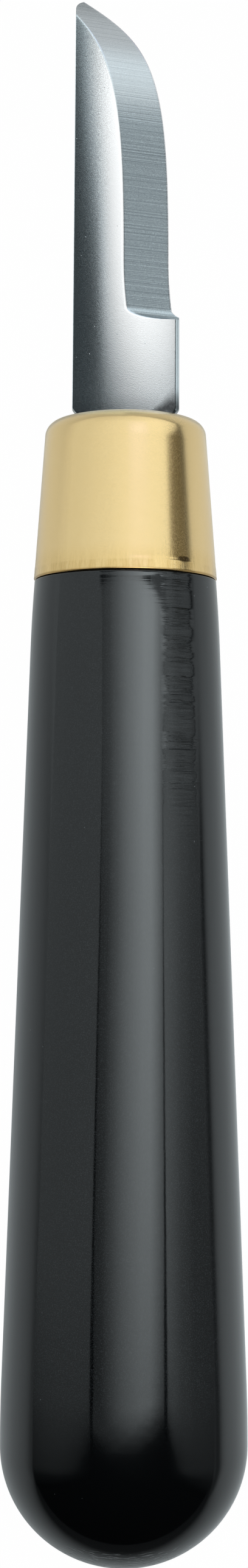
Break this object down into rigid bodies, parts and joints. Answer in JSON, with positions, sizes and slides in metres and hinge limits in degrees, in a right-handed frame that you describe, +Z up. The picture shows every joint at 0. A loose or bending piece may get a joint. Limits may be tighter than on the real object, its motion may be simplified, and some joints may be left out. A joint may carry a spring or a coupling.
{
  "type": "lino cutting tool",
  "caption": "Palm lino cutter: a chisel-ground steel knife blade, set by its tang in a domed, tapered black handle under a drawn brass ferrule.",
  "frame": {"origin": "middle of the bounding box's underside: the tool lies on the XY plane, on the straight taper of its handle", "axes": "+Y along the tool from the butt to the blade's tip, whose axis dips by the handle's taper of 2.09 degrees; +Z up, out of the blade's ground face; +X towards the cutting edge"},
  "size_m": [0.0206, 0.1316, 0.0207],
  "materials": {
    "black_lacquer": "turned wood under black high-gloss lacquer",
    "brass": "drawn sheet, satin",
    "steel": "satin strip with a wheel-ground bevel",
    "resin": "set resin"
  },
  "bodies": {
    "root": {"handle": "black_lacquer", "ferrule": "brass", "blade": "steel", "tang_bedding": "resin"}
  },
  "joints": []
}
